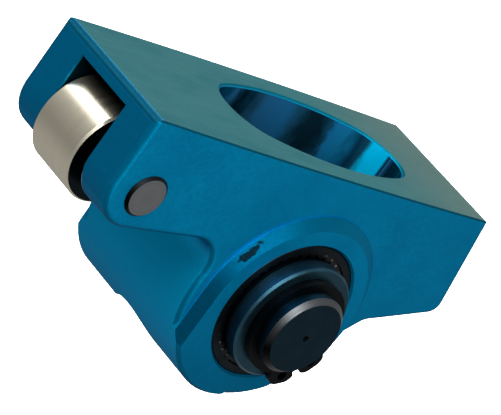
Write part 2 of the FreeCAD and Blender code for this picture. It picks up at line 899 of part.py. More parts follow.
def lug_corners(turn):
    """Corners of a snap ring lug, from inside the ring out to its tip.

    Args:
        turn: 1 or -1, the side of the gap that the lug is on.

    Returns:
        Pairs of expression texts; the middle two are the tip.
    """
    angle = f"( {turn} * ring_lug_angle )"
    inner = "( spindle_radius + 0.4 )"
    outer = "ring_lug_reach"
    return [
        (
            f"{reach} * cos( {angle} ) - ( {half} ) * sin( {angle} )",
            f"{reach} * sin( {angle} ) + ( {half} ) * cos( {angle} )",
        )
        for reach, half in (
            (inner, "- ring_lug_width / 2"), (outer, "- ring_lug_width / 2"),
            (outer, "ring_lug_width / 2"), (inner, "ring_lug_width / 2"),
        )
    ]


cup_out = "( boss_face - cup_recess )"
cup_in = f"( {cup_out} - cup_length )"
lip_inner = "( bore_radius - cup_lip_reach )"
needle_in = f"( {cup_in} + cup_lip + needle_end_play )"
needle_out = f"( {cup_out} - cup_lip - needle_end_play )"

pieces = [arm_body, trunnion]

for side, axis in (("near", "-y"), ("far", "y")):
    cup = turned(f"{side}_bearing_cup", [[
        (lip_inner, cup_in),
        ("bore_radius - cup_lip / 2", cup_in),
        ("bore_radius", f"{cup_in} + cup_lip / 2"),
        ("bore_radius", f"{cup_out} - cup_lip / 2"),
        ("bore_radius - cup_lip / 2", cup_out),
        (lip_inner, cup_out),
        (lip_inner, f"{cup_out} - cup_lip"),
        ("raceway", f"{cup_out} - cup_lip"),
        ("raceway", f"{cup_in} + cup_lip"),
        (lip_inner, f"{cup_in} + cup_lip"),
    ]])
    place(cup, axis=axis)
    pieces.append(cup)

    # One needle is turned about its own line, then the row is patterned.
    row = new_body(f"{side}_needle_row")
    row.AllowCompound = True
    sketch = new_sketch(row, f"{side}_needle_section")
    polygon(sketch, [
        ("pitch", needle_in),
        ("pitch + needle_radius - needle_end_chamfer", needle_in),
        ("pitch + needle_radius", f"{needle_in} + needle_end_chamfer"),
        ("pitch + needle_radius", f"{needle_out} - needle_end_chamfer"),
        ("pitch + needle_radius - needle_end_chamfer", needle_out),
        ("pitch", needle_out),
    ])
    line = sketch.addGeometry(
        Part.LineSegment(
            FreeCAD.Vector(number_of("pitch"), number_of(needle_in), 0),
            FreeCAD.Vector(number_of("pitch"), number_of(needle_out), 0),
        ),
        True,
    )
    sketch.addConstraint(Sketcher.Constraint("Coincident", line, 1, 0, 1))
    sketch.addConstraint(Sketcher.Constraint("Coincident", line, 2, 5, 1))
    needle = row.newObject("PartDesign::Revolution", f"{side}_needle")
    needle.Profile = sketch
    needle.ReferenceAxis = (sketch, ["Axis0"])
    needle.Angle = 360.0
    sketch.Visibility = False
    row.Tip = needle
    doc.recompute()
    ring = row.newObject("PartDesign::PolarPattern", f"{side}_needle_pattern")
    ring.Originals = [needle]
    ring.Axis = (origin_part(row, "Z_Axis"), [""])
    ring.Angle = 360.0
    row.Tip = ring
    bind(ring, Occurrences="needle_count")
    place(row, axis=axis)
    pieces.append(row)

    washer_in = "( shoulder_reach + washer_end_play )"
    washer_out = f"( {washer_in} + washer_thickness )"
    washer_bore = "( spindle_radius + washer_clearance )"
    washer = turned(f"{side}_thrust_washer", [[
        (washer_bore, washer_in),
        ("washer_radius - washer_edge", washer_in),
        ("washer_radius", f"{washer_in} + washer_edge"),
        ("washer_radius", f"{washer_out} - washer_edge"),
        ("washer_radius - washer_edge", washer_out),
        (washer_bore, washer_out),
    ]])
    place(washer, axis=axis)
    pieces.append(washer)

    # The snap ring's drawing angle is mirrored on the near side, so that
    # both gaps point alike.
    clip = new_body(f"{side}_snap_ring")
    handed = 1.0 if side == "near" else -1.0
    ring_step(clip, "Pad", f"{side}_ring_band", lambda sketch: (
        circle(sketch, "0", "0", "ring_radius"),
        circle(sketch, "0", "0", "spindle_radius - ring_groove_depth + 0.05"),
    ))
    for turn in (1, -1):
        corners = lug_corners(turn)
        ring_step(clip, "Pad", f"{side}_lug", lambda sketch, corners=corners: (
            polygon(sketch, corners)
        ))
        round_edges(clip, FreeCAD.Vector(0, 0, 1), [
            (
                FreeCAD.Vector(number_of(across), number_of(along), 0),
                "ring_lug_round",
            )
            for across, along in corners[1:3]
        ])
        angle = f"( {turn} * ring_lug_angle )"
        ring_step(clip, "Pocket", f"{side}_hole", lambda sketch, angle=angle: circle(
            sketch,
            f"ring_hole_reach * cos( {angle} )",
            f"ring_hole_reach * sin( {angle} )",
            "ring_hole_radius",
        ))
    ring_step(clip, "Pocket", f"{side}_ring_gap", lambda sketch: polygon(sketch, [
        ("spindle_radius / 2", "- ring_gap_width / 2"),
        ("ring_lug_reach + 1", "- ring_gap_width / 2"),
        ("ring_lug_reach + 1", "ring_gap_width / 2"),
        ("spindle_radius / 2", "ring_gap_width / 2"),
    ]))
    place(clip, axis=axis, turn=handed * value["ring_gap_angle"])
    pieces.append(clip)

# ---------------------------------------------------------------- roller

axle_half = "( body_width / 2 - side_bow + axle_proud )"
roller_axle = turned("roller_axle", [[
    ("0", f"- {axle_half}"),
    ("axle_radius - axle_chamfer", f"- {axle_half}"),
    ("axle_radius", f"axle_chamfer - {axle_half}"),
    ("axle_radius", f"{axle_half} - axle_chamfer"),
    ("axle_radius - axle_chamfer", axle_half),
    ("0", axle_half),
]])
place(roller_axle, ("- axle_setback", "0", "axle_height"), "y")

roller_bore = "( axle_radius + roller_clearance )"
roller_wheel = turned("roller_wheel", [[
    (f"{roller_bore} + roller_edge", "- roller_width / 2"),
    ("roller_radius - roller_edge", "- roller_width / 2"),
    ("roller_radius", "roller_edge - roller_width / 2"),
    ("roller_radius", "roller_width / 2 - roller_edge"),
    ("roller_radius - roller_edge", "roller_width / 2"),
    (f"{roller_bore} + roller_edge", "roller_width / 2"),
    (roller_bore, "roller_width / 2 - roller_edge"),
    (roller_bore, "roller_edge - roller_width / 2"),
]])
place(roller_wheel, ("- axle_setback", "roller_shift", "axle_height"), "y")
pieces += [roller_axle, roller_wheel]

# ---------------------------------------------------------------- pushrod cup

insert_blank = turned("seat_insert_blank", [[
    ("0", "0"),
    ("seat_insert_radius", "0"),
    ("seat_insert_radius", "seat_insert_length"),
    ("0", "seat_insert_length"),
]])
ball = doc.addObject("Part::Sphere", "seat_ball")
bind(ball, Radius="seat_ball_radius")
place(ball, ("0", "0", "seat_ball_depth - seat_ball_radius"))
pushrod_cup = cut("pushrod_cup", insert_blank, ball)
stand_on_underside(pushrod_cup)
pieces.append(pushrod_cup)

# ---------------------------------------------------------------- export

doc.removeObject("probe")
doc.recompute()
for item in doc.Objects:
    if "Invalid" in item.State or "Error" in item.State:
        raise ValueError(f"{item.Label} did not rebuild: {item.State}")
for piece in pieces:
    if piece.Shape.isNull() or not piece.Shape.isValid():
        raise ValueError(f"{piece.Label} has no valid shape")

os.makedirs("parts", exist_ok=True)
for piece in pieces:
    piece.Shape.exportStep(f"parts/{piece.Label}.step")
    box = piece.Shape.BoundBox
    print(
        f"{piece.Label}: {len(piece.Shape.Solids)} solids,"
        f" {piece.Shape.Volume:.2f} mm3,"
        f" {box.XLength:.2f} x {box.YLength:.2f} x {box.ZLength:.2f} mm"
    )
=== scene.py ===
"""Looks of a full-roller rocker arm on its needle roller fulcrum bearing.

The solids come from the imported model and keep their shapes.  This script
gives every one of them its finish, then sets up the studio: a pale floor,
soft panels of light and the camera.
"""

import logging
from dataclasses import dataclass, field
from enum import Enum

import bpy
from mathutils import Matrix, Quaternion, Vector


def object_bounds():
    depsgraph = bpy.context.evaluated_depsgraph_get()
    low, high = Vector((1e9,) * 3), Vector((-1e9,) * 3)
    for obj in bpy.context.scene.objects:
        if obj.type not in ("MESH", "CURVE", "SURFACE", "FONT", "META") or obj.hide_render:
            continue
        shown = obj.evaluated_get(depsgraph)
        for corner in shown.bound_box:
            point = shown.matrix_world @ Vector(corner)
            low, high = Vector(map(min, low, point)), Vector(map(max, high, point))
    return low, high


LOG = logging.getLogger("rocker_arm")
MM = 0.001
MITRE = 0.707
ROLLER_AXIS = (-35.4 * MM, 10.2 * MM)

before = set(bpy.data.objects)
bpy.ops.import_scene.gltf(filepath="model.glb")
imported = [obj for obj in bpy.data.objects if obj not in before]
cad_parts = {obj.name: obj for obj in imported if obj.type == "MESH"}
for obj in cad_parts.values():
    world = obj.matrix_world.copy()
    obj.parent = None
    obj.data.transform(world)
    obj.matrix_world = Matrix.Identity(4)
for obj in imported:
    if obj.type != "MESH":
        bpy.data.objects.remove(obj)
CAD_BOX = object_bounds()

RGB = tuple[float, float, float]
Scale = tuple[float, float, float]
Node = bpy.types.Node
Socket = bpy.types.NodeSocket


class Grain(Enum):
    """Which way the fine tool marks of a metal face run."""

    TURNED = "rings round an axis that lies across the arm"
    NONE = "no direction"


class NodeBench:
    """Short-hand for building one material out of shader nodes."""

    def __init__(self, name: str) -> None:
        """Start an empty material that ends in one surface shader.

        Args:
            name: name of the material.
        """
        self.material = bpy.data.materials.new(name)
        self.material.use_nodes = True
        self.tree = self.material.node_tree
        self.tree.nodes.clear()
        self.output = self.tree.nodes.new("ShaderNodeOutputMaterial")
        self.shader = self.tree.nodes.new("ShaderNodeBsdfPrincipled")
        self.tree.links.new(self.shader.outputs[0], self.output.inputs[0])
        coordinates = self.tree.nodes.new("ShaderNodeTexCoord")
        self.place = coordinates.outputs["Object"]
        self.facing = coordinates.outputs["Normal"]

    def add(self, kind: str, **settings: object) -> Node:
        """Add a node and set its properties.

        Args:
            kind: node type without the "ShaderNode" in front.
            **settings: property names and values.

        Returns:
            The new node.
        """
        node = self.tree.nodes.new(f"ShaderNode{kind}")
        for key, setting in settings.items():
            setattr(node, key, setting)
        return node

    def feed(self, node: Node, socket: int | str, source: object) -> None:
        """Link a socket or set its value.

        Args:
            node: node that receives.
            socket: index or name of the input.
            source: an output socket, or a plain value.
        """
        if isinstance(source, Socket):
            self.tree.links.new(source, node.inputs[socket])
        else:
            node.inputs[socket].default_value = source

    def math(self, kind: str, first: object, second: object = 0.0) -> Socket:
        """One arithmetic step.

        Args:
            kind: operation name, such as "MULTIPLY".
            first: first operand.
            second: second operand.

        Returns:
            The result.
        """
        node = self.add("Math", operation=kind)
        self.feed(node, 0, first)
        self.feed(node, 1, second)
        return node.outputs[0]

    def span(
        self, source: Socket, low: float, high: float,
        out_low: float = 0.0, out_high: float = 1.0,
    ) -> Socket:
        """Stretch a range of values onto another one, with clamped ends.

        Args:
            source: the value.
            low: value that gives out_low.
            high: value that gives out_high.
            out_low: result at the low end.
            out_high: result at the high end.

        Returns:
            The stretched value.
        """
        node = self.add("MapRange", clamp=True)
        for socket, value in enumerate((source, low, high, out_low, out_high)):
            self.feed(node, socket, value)
        return node.outputs[0]

    def within(self, source: Socket, middle: float, reach: float) -> Socket:
        """Mask of the values that lie close to a middle one.

        Args:
            source: the value.
            middle: value in the middle of the mask.
            reach: how far the mask goes each way.

        Returns:
            1 inside and 0 outside, with a narrow soft edge.
        """
        away = self.math("ABSOLUTE", self.math("SUBTRACT", source, middle))
        return self.span(away, reach * 0.99, reach * 1.01, 1.0, 0.0)

    def every(self, *masks: Socket) -> Socket:
        """Mask of where all the given masks hold.

        Args:
            *masks: the masks to join.

        Returns:
            Their product.
        """
        product = masks[0]
        for mask in masks[1:]:
            product = self.math("MULTIPLY", product, mask)
        return product

    def slide(self, share: Socket, first: object, second: object) -> Socket:
        """Slide between two plain values.

        Args:
            share: how much of the second one.
            first: value at share 0.
            second: value at share 1.

        Returns:
            The value between them.
        """
        node = self.add("Mix", data_type="FLOAT")
        for socket, source in ((0, share), (2, first), (3, second)):
            self.feed(node, socket, source)
        return node.outputs[0]

    def axes(self, vector: Socket) -> tuple[Socket, Socket, Socket]:
        """Split a vector into its three parts.

        Args:
            vector: the vector.

        Returns:
            Its x, y and z.
        """
        node = self.add("SeparateXYZ")
        self.feed(node, 0, vector)
        return node.outputs[0], node.outputs[1], node.outputs[2]

    def stretched(self, scale: Scale) -> Socket:
        """Object position with each axis scaled on its own.

        Args:
            scale: factor of each axis.

        Returns:
            The scaled position.
        """
        node = self.add("VectorMath", operation="MULTIPLY")
        self.feed(node, 0, self.place)
        self.feed(node, 1, scale)
        return node.outputs[0]

    def noise(
        self, vector: Socket, scale: float, detail: float = 3.0,
        roughness: float = 0.55,
    ) -> Socket:
        """Fractal noise value.

        Args:
            vector: where it is read.
            scale: features per metre.
            detail: octaves.
            roughness: strength of the finer octaves.

        Returns:
            A value around one half.
        """
        node = self.add("TexNoise")
        self.feed(node, "Vector", vector)
        self.feed(node, "Scale", scale)
        self.feed(node, "Detail", detail)
        self.feed(node, "Roughness", roughness)
        return node.outputs[0]

    def blend(self, share: object, first: object, second: object) -> Socket:
        """Mix two colours.

        Args:
            share: how much of the second one, from 0 to 1.
            first: colour at share 0.
            second: colour at share 1.

        Returns:
            The mixed colour.
        """
        node = self.add("Mix", data_type="RGBA")
        colours = [socket for socket in node.inputs if socket.type == "RGBA"]
        self.feed(node, 0, share)
        for socket, value in zip(colours, (first, second)):
            if isinstance(value, Socket):
                self.tree.links.new(value, socket)
            else:
                socket.default_value = (*value, 1.0)
        return next(out for out in node.outputs if out.type == "RGBA")

    def bump(self, height: Socket, depth: float, strength: float) -> None:
        """Give the surface shader a fine relief.

        Args:
            height: relief, from 0 to 1.
            depth: depth of a full step, in metres.
            strength: share of the relief that shows.
        """
        node = self.add("Bump")
        self.feed(node, "Strength", strength)
        self.feed(node, "Distance", depth)
        self.feed(node, "Height", height)
        self.feed(self.shader, "Normal", node.outputs[0])


@dataclass(frozen=True)
class ReflectionStreak:
    """One band of painted reflection along the polished wall of the window."""

    place: float
    colour: RGB


class ArmSurface:
    """Masks of the arm's faces, told apart by where they lie and face.

    Each mask is 1 on its face and 0 elsewhere, with a narrow soft edge.  A
    pair of heights or places is where a mask starts and where it is full.
    """

    top_height = 20.8 * MM
    opening_middle = -0.8 * MM
    window_reach = (18.1 * MM, 8.25 * MM)
    window_foot = (4.8 * MM, 4.9 * MM)
    throat_reach = (11.3 * MM, 8.05 * MM)
    throat_head = (4.9 * MM, 5.0 * MM)
    mouth_reach = (18.7 * MM, 8.7 * MM)
    fork_front = (-41.6 * MM, -41.3 * MM)
    fork_rear = (-27.0 * MM, -26.8 * MM)
    fork_reach = 5.6 * MM
    fork_head = (18.8 * MM, 19.0 * MM)
    knock_place = (-12.75 * MM, -12.7 * MM, 7.0 * MM)
    knock_axes = (
        ((-0.474, 0.0, -0.880), 2.6 * MM),
        ((-0.880, 0.0, 0.474), 0.55 * MM),
        ((0.0, 1.0, 0.0), 1.2 * MM),
    )

    def __init__(self, bench: NodeBench) -> None:
        """Read the surface and make the masks that several finishes share.

        Args:
            bench: the material being built.
        """
        self.bench = bench
        self.x, self.y, self.z = bench.axes(bench.place)
        self.along, across, self.up = bench.axes(bench.facing)
        self.sideways = bench.math("ABSOLUTE", across)
        self.off_middle = bench.math("ABSOLUTE", self.y)
        self.high = bench.span(
            self.z, self.top_height - 0.3 * MM, self.top_height - 0.2 * MM
        )
        self.on_top = bench.math(
            "MULTIPLY", bench.span(self.up, 0.993, 0.998), self.high
        )
        self.in_window = self._window()
        self.round_mouth = self._mouth()
        # Painted shade: the fork slot and stud throat are coloured near black.
        self.shaded_hollow = bench.math("MAXIMUM", self._throat(), self._fork())
        self.knocked = self._knock()
        self.lines = bench.noise(bench.stretched((0.06, 1.0, 1.0)), 2400.0, 3.0, 0.6)
        self.fine = bench.noise(bench.place, 1900.0, 2.0)

    def _window(self) -> Socket:
        """Mask of the polished wall of the adjuster window.

        Returns:
            The mask.
        """
        bench = self.bench
        return bench.every(
            bench.within(self.x, self.opening_middle, self.window_reach[0]),
            bench.within(self.y, 0.0, self.window_reach[1]),
            bench.span(self.z, *self.window_foot),
            bench.span(self.up, 0.3, 0.5, 1.0, 0.0),
        )

    def _mouth(self) -> Socket:
        """Mask of the column that holds the window's mouth.

        Returns:
            The mask.
        """
        bench = self.bench
        return bench.math(
            "MULTIPLY",
            bench.within(self.y, 0.0, self.mouth_reach[1]),
            bench.within(self.x, self.opening_middle, self.mouth_reach[0]),
        )

    def _throat(self) -> Socket:
        """Mask of the wall of the stud throat under the window, where painted shade goes.

        Returns:
            The mask.
        """
        bench = self.bench
        return bench.every(
            bench.within(self.x, self.opening_middle, self.throat_reach[0]),
            bench.within(self.y, 0.0, self.throat_reach[1]),
            bench.span(self.z, *self.throat_head, 1.0, 0.0),
            bench.span(bench.math("ABSOLUTE", self.up), 0.02, 0.1, 1.0, 0.0),
        )

    def _fork(self) -> Socket:
        """Mask of the inside of the nose fork, where painted shade goes.

        Returns:
            The mask.
        """
        bench = self.bench
        return bench.every(
            bench.span(self.x, *self.fork_front),
            bench.span(self.x, *self.fork_rear, 1.0, 0.0),
            bench.within(self.y, 0.0, self.fork_reach),
            bench.span(self.z, *self.fork_head, 1.0, 0.0),
        )

    def _knock(self) -> Socket:
        """Mask of the small knock on the bevel of the near boss.

        Returns:
            The mask, with a ragged edge.
        """
        bench = self.bench
        away = bench.add("VectorMath", operation="SUBTRACT")
        bench.feed(away, 0, bench.place)
        bench.feed(away, 1, self.knock_place)
        spans = []
        for direction, reach in self.knock_axes:
            part = bench.add("VectorMath", operation="DOT_PRODUCT")
            bench.feed(part, 0, away.outputs[0])
            bench.feed(part, 1, direction)
            share = bench.math("DIVIDE", part.outputs["Value"], reach)
            spans.append(bench.math("MULTIPLY", share, share))
        total = bench.math("ADD", bench.math("ADD", spans[0], spans[1]), spans[2])
        ragged = bench.noise(bench.place, 1500.0, 3.0)
        edge = bench.math("ADD", total, bench.span(ragged, 0.3, 0.7, -0.4, 0.9))
        return bench.span(edge, 0.75, 1.05, 1.0, 0.0)

    def top_bevel(self) -> Socket:
        """Mask of the bevels along the top and round the window's mouth; the top ones get
        painted shade.

        Returns:
            The mask.
        """
        bench = self.bench
        beside = bench.span(self.off_middle, 10.9 * MM, 11.0 * MM)
        return bench.every(
            bench.within(self.up, MITRE, 0.12),
            self.high,
            bench.math("MAXIMUM", self.round_mouth, beside),
        )

    def nose(self) -> Socket:
        """Mask of the front of the nose, which gets painted shade."""
        front = self.bench.span(self.x, -40.4 * MM, -40.8 * MM)
        return self.bench.every(self.bench.span(self.along, -0.5, -0.8), front)

    def nose_ridge_shade(self) -> Socket:
        """Mask of the round ridge over the nose, which gets painted shade.

        Returns:
            The mask.
        """
        return self.bench.every(
            self.bench.span(self.x, -40.2 * MM, -40.5 * MM),
            self.bench.span(self.up, 0.15, 0.4),
            self.bench.span(self.up, 0.995, 0.98),
        )

    def lobe(self) -> Socket:
        """Mask of the lobe's front, low down, which gets painted light.

        Returns:
            The mask.
        """
        return self.bench.every(
            self.bench.span(self.along, -0.3, -0.75),
            self.bench.span(self.x, -20.0 * MM, -19.0 * MM),
            self.bench.span(self.z, 4.0 * MM, 7.0 * MM, 1.0, 0.0),
        )

    def below(self) -> Socket:
        """Mask of faces that look down, which get painted shade."""
        return self.bench.span(self.up, -0.35, -0.8)

    def boss_bevel(self) -> Socket:
        """Mask of the bevel round each boss, which gets painted shade."""
        outside = self.bench.span(self.off_middle, 12.1 * MM, 12.2 * MM)
        return self.bench.every(self.bench.within(self.sideways, 0.8, 0.04), outside)

    def rounding(self) -> Socket:
        """Mask of the rounded edges between the sides and the outline, which get painted
        shade.

        Returns:
            The mask.
        """
        return self.bench.every(
            self.bench.span(self.sideways, 0.2, 0.5),
            self.bench.span(self.sideways, 0.97, 0.85),
            self.bench.span(self.z, 20.3 * MM, 20.2 * MM),
        )

    def low_side_shade(self) -> Socket:
        """Mask that grows toward the foot of the side faces, for painted shade."""
        downward = self.bench.span(self.z, 4.0 * MM, -13.0 * MM)
        return self.bench.every(self.bench.span(self.sideways, 0.9, 0.96), downward)

    def fork_edge_highlight(self) -> Socket:
        """Mask of the painted highlight along the fork's lower near edge.

        Returns:
            The mask.
        """
        return self.bench.every(
            self.bench.within(self.y, -5.5 * MM, 0.16 * MM),
            self.bench.span(self.x, -34.5 * MM, -35.5 * MM),
            self.bench.span(self.z, 8.4 * MM, 7.4 * MM),
            self.bench.span(self.up, -0.1, -0.2),
        )


@dataclass(frozen=True)
class AnodisedFinish:
    """Dyed anodised aluminium: satin sides, planed top, polished window, with painted
    shade, highlights and reflections on several faces.
    """

    name: str = "blue_anodised_aluminium"
    side: RGB = (0.0, 0.235, 0.450)
    side_deep: RGB = (0.0, 0.200, 0.400)
    # Painted shade: the nose front is coloured darker than the sides.
    nose: RGB = (0.0, 0.140, 0.290)
    # Painted shade: the round over the nose is coloured dark.
    nose_ridge_shade: RGB = (0.002, 0.050, 0.090)
    # Painted light: the lobe's front is coloured brighter than the sides.
    lobe: RGB = (0.0, 0.300, 0.560)
    # Painted shade: the sides darken toward their foot.
    low_side_shade: RGB = (0.0, 0.150, 0.300)
    # Painted shade on faces that look down.
    under: RGB = (0.0, 0.160, 0.320)
    # Painted shade on the rounded edges of the outline.
    rounding: RGB = (0.0, 0.120, 0.230)
    # Painted shade on the boss bevels: deep where they face forward, light where they face
    # back.
    bevel_deep_shade: RGB = (0.0, 0.045, 0.095)
    bevel_light_shade: RGB = (0.0, 0.200, 0.360)
    # Painted highlight: a bright line along the fork's lower near edge.
    fork_edge_highlight: RGB = (0.45, 0.62, 0.68)
    edge_tint: RGB = (0.0, 0.50, 0.68)
    # Planed top; its greyer tone is partly painted sheen from grazing light.
    top: RGB = (0.037, 0.088, 0.087)
    top_worn: RGB = (0.025, 0.068, 0.074)
    top_rear: RGB = (0.082, 0.098, 0.078)
    # Dark pits in the planed top, and painted shade along the top's bevels.
    top_pit_and_edge_shade: RGB = (0.0, 0.060, 0.100)
    mouth: RGB = (0.002, 0.130, 0.180)
    # Painted shade for the fork slot, the stud throat and the foot of the window.
    cavity_shade: RGB = (0.0, 0.004, 0.006)
    knock: RGB = (0.001, 0.006, 0.010)
    speck: RGB = (0.05, 0.40, 0.52)
    side_roughness: float = 0.42
    top_roughness: float = 0.55
    window_roughness: float = 0.22
    # Painted reflections: bands of colour on the polished window wall, given by place
    # along the arm.
    reflection_ends: tuple[float, float] = (-18.0 * MM, 18.0 * MM)
    reflection_streaks: tuple[ReflectionStreak, ...] = (
        ReflectionStreak(-15.4 * MM, (0.0, 0.010, 0.020)),
        ReflectionStreak(-12.6 * MM, (0.001, 0.016, 0.045)),
        ReflectionStreak(-11.6 * MM, (0.004, 0.050, 0.100)),
        ReflectionStreak(-10.4 * MM, (0.009, 0.058, 0.130)),
        ReflectionStreak(-9.4 * MM, (0.002, 0.014, 0.028)),
        ReflectionStreak(-8.2 * MM, (0.0, 0.003, 0.006)),
        ReflectionStreak(-6.6 * MM, (0.001, 0.014, 0.026)),
        ReflectionStreak(-5.0 * MM, (0.006, 0.036, 0.070)),
        ReflectionStreak(-2.8 * MM, (0.008, 0.066, 0.150)),
        ReflectionStreak(2.2 * MM, (0.006, 0.066, 0.150)),
        ReflectionStreak(4.4 * MM, (0.004, 0.030, 0.056)),
        ReflectionStreak(6.0 * MM, (0.001, 0.009, 0.016)),
        ReflectionStreak(8.6 * MM, (0.001, 0.008, 0.014)),
        ReflectionStreak(10.2 * MM, (0.003, 0.030, 0.060)),
        ReflectionStreak(11.0 * MM, (0.004, 0.085, 0.195)),
        ReflectionStreak(13.6 * MM, (0.003, 0.088, 0.180)),
        ReflectionStreak(14.9 * MM, (0.001, 0.015, 0.035)),
        ReflectionStreak(15.7 * MM, (0.003, 0.035, 0.060)),
        ReflectionStreak(16.2 * MM, (0.0, 0.290, 0.490)),
        ReflectionStreak(17.2 * MM, (0.0, 0.270, 0.460)),
    )

    def build(self) -> bpy.types.Material:
        """Make the material.

        Returns:
            The finished material.
        """
        bench = NodeBench(self.name)
        arm = ArmSurface(bench)
        colour = self._satin(arm)
        colour = bench.blend(arm.on_top, colour, self._top(arm))
        # Painted shade: the bevels along the top are coloured as a dark line.
        edges = bench.blend(arm.round_mouth, self.top_pit_and_edge_shade, self.mouth)
        colour = bench.blend(arm.top_bevel(), colour, edges)
        # Painted reflections on the polished window wall.
        colour = bench.blend(arm.in_window, colour, self._painted_reflections(arm))
        # Painted shade in the fork slot and stud throat.
        colour = bench.blend(arm.shaded_hollow, colour, self.cavity_shade)
        colour = bench.blend(arm.knocked, colour, self.knock)
        bench.feed(bench.shader, "Base Color", colour)
        self._shine(arm)
        bench.bump(bench.slide(arm.on_top, arm.fine, arm.lines), 0.01 * MM, 0.3)
        return bench.material

    def _shine(self, arm: ArmSurface) -> None:
        """Set how metallic, how bright and how rough each face is.

        Args:
            arm: the masks of the arm.
        """
        bench = arm.bench
        satin = bench.span(
            arm.fine, 0.3, 0.7, self.side_roughness - 0.04, self.side_roughness + 0.06
        )
        planed = bench.span(
            arm.lines, 0.3, 0.7, self.top_roughness - 0.05, self.top_roughness + 0.1
        )
        rough = bench.slide(arm.on_top, satin, planed)
        rough = bench.slide(arm.in_window, rough, self.window_roughness)
        dull = bench.math("MAXIMUM", arm.shaded_hollow, arm.in_window)
        dark = bench.math("MAXIMUM", arm.shaded_hollow, arm.knocked)
        level = bench.slide(dark, bench.slide(arm.in_window, 0.5, 0.2), 0.03)
        for socket, source in (
            ("Metallic", bench.slide(dull, 0.85, 0.1)),
            ("Specular IOR Level", level),
            ("Roughness", rough),
            ("Specular Tint", (*self.edge_tint, 1.0)),
        ):
            bench.feed(bench.shader, socket, source)

    def _satin(self, arm: ArmSurface) -> Socket:
        """Colour of the satin outside, from the sides to the boss bevels, with painted
        shade and light on several faces.

        Args:
            arm: the masks of the arm.

        Returns:
            The colour.
        """
        bench = arm.bench
        colour = self._sides(bench)
        for mask, tint in (
            (arm.low_side_shade(), self.low_side_shade), (arm.below(), self.under),
            (arm.nose(), self.nose), (arm.lobe(), self.lobe),
            (arm.rounding(), self.rounding), (arm.nose_ridge_shade(), self.nose_ridge_shade),
            (arm.fork_edge_highlight(), self.fork_edge_highlight),
        ):
            colour = bench.blend(mask, colour, tint)
        # Painted shade on the boss bevels, by which way they face.
        front_to_rear = bench.span(arm.along, -0.45, 0.5)
        bevel = bench.blend(front_to_rear, self.bevel_deep_shade, self.bevel_light_shade)
        return bench.blend(arm.boss_bevel(), colour, bevel)

    def _sides(self, bench: NodeBench) -> Socket:
        """Colour of the satin faces, cloudy, with a few tiny specks.

        Args:
            bench: the material being built.

        Returns:
            The colour.
        """
        cloud = bench.noise(bench.place, 130.0, 4.0)
        side = bench.blend(bench.span(cloud, 0.35, 0.68), self.side, self.side_deep)
        cells = bench.add("TexVoronoi")
        bench.feed(cells, "Vector", bench.place)
        bench.feed(cells, "Scale", 170.0)
        chosen = bench.span(bench.axes(cells.outputs["Color"])[0], 0.86, 0.88)
        spot = bench.span(cells.outputs["Distance"], 0.025, 0.04, 1.0, 0.0)
        return bench.blend(bench.math("MULTIPLY", chosen, spot), side, self.speck)

    def _top(self, arm: ArmSurface) -> Socket:
        """Colour of the planed top: fine lines, worn patches and pits, on a grey tone that
        is partly painted sheen.

        Args:
            arm: the masks of the arm.

        Returns:
            The colour.
        """
        bench = arm.bench
        patches = bench.noise(bench.stretched((0.5, 1.0, 1.0)), 240.0, 4.0)
        worn = bench.math(
            "ADD",
            bench.span(arm.lines, 0.4, 0.72, 0.0, 0.3),
            bench.span(patches, 0.42, 0.7, 0.0, 0.7),
        )
        rearward = bench.span(arm.x, 5.0 * MM, 32.0 * MM)
        top = bench.blend(worn, self.top, self.top_worn)
        top = bench.blend(rearward, top, self.top_rear)
        pits = bench.noise(bench.stretched((0.6, 1.0, 1.0)), 900.0, 2.0)
        return bench.blend(bench.span(pits, 0.72, 0.78, 0.0, 0.6), top, self.top_pit_and_edge_shade)

    def _painted_reflections(self, arm: ArmSurface) -> Socket:
        """Painted reflections on the polished window wall, in upright bands, with painted
        shade toward its foot.

        Args:
            arm: the masks of the arm.

        Returns:
            The colour.
        """
        bench = arm.bench
        ragged = bench.noise(bench.stretched((1.0, 1.0, 0.5)), 420.0, 3.0)
        calm = bench.span(arm.x, 12.0 * MM, 15.0 * MM, 1.0, 0.4)
        shift = bench.span(ragged, 0.3, 0.7, -0.9 * MM, 0.9 * MM)
        along = bench.math("ADD", arm.x, bench.math("MULTIPLY", shift, calm))
        mirrored = bench.slide(
            bench.span(arm.y, -0.6 * MM, 0.8 * MM),
            bench.math("SUBTRACT", arm.opening_middle, along), along,
        )
        low, high = self.reflection_ends
        ramp = bench.add("ValToRGB")
        bands = ramp.color_ramp
        for streak in self.reflection_streaks[2:]:
            bands.elements.new((streak.place - low) / (high - low))
        for element, streak in zip(bands.elements, self.reflection_streaks):
            element.position = (streak.place - low) / (high - low)
            element.color = (*streak.colour, 1.0)
        bench.feed(ramp, 0, bench.span(mirrored, low, high))
        # Painted shade: the window wall darkens toward its foot.
        foot_shade = bench.span(arm.z, 5.0 * MM, 16.0 * MM, 0.45, 0.0)
        return bench.blend(foot_shade, ramp.outputs[0], self.cavity_shade)


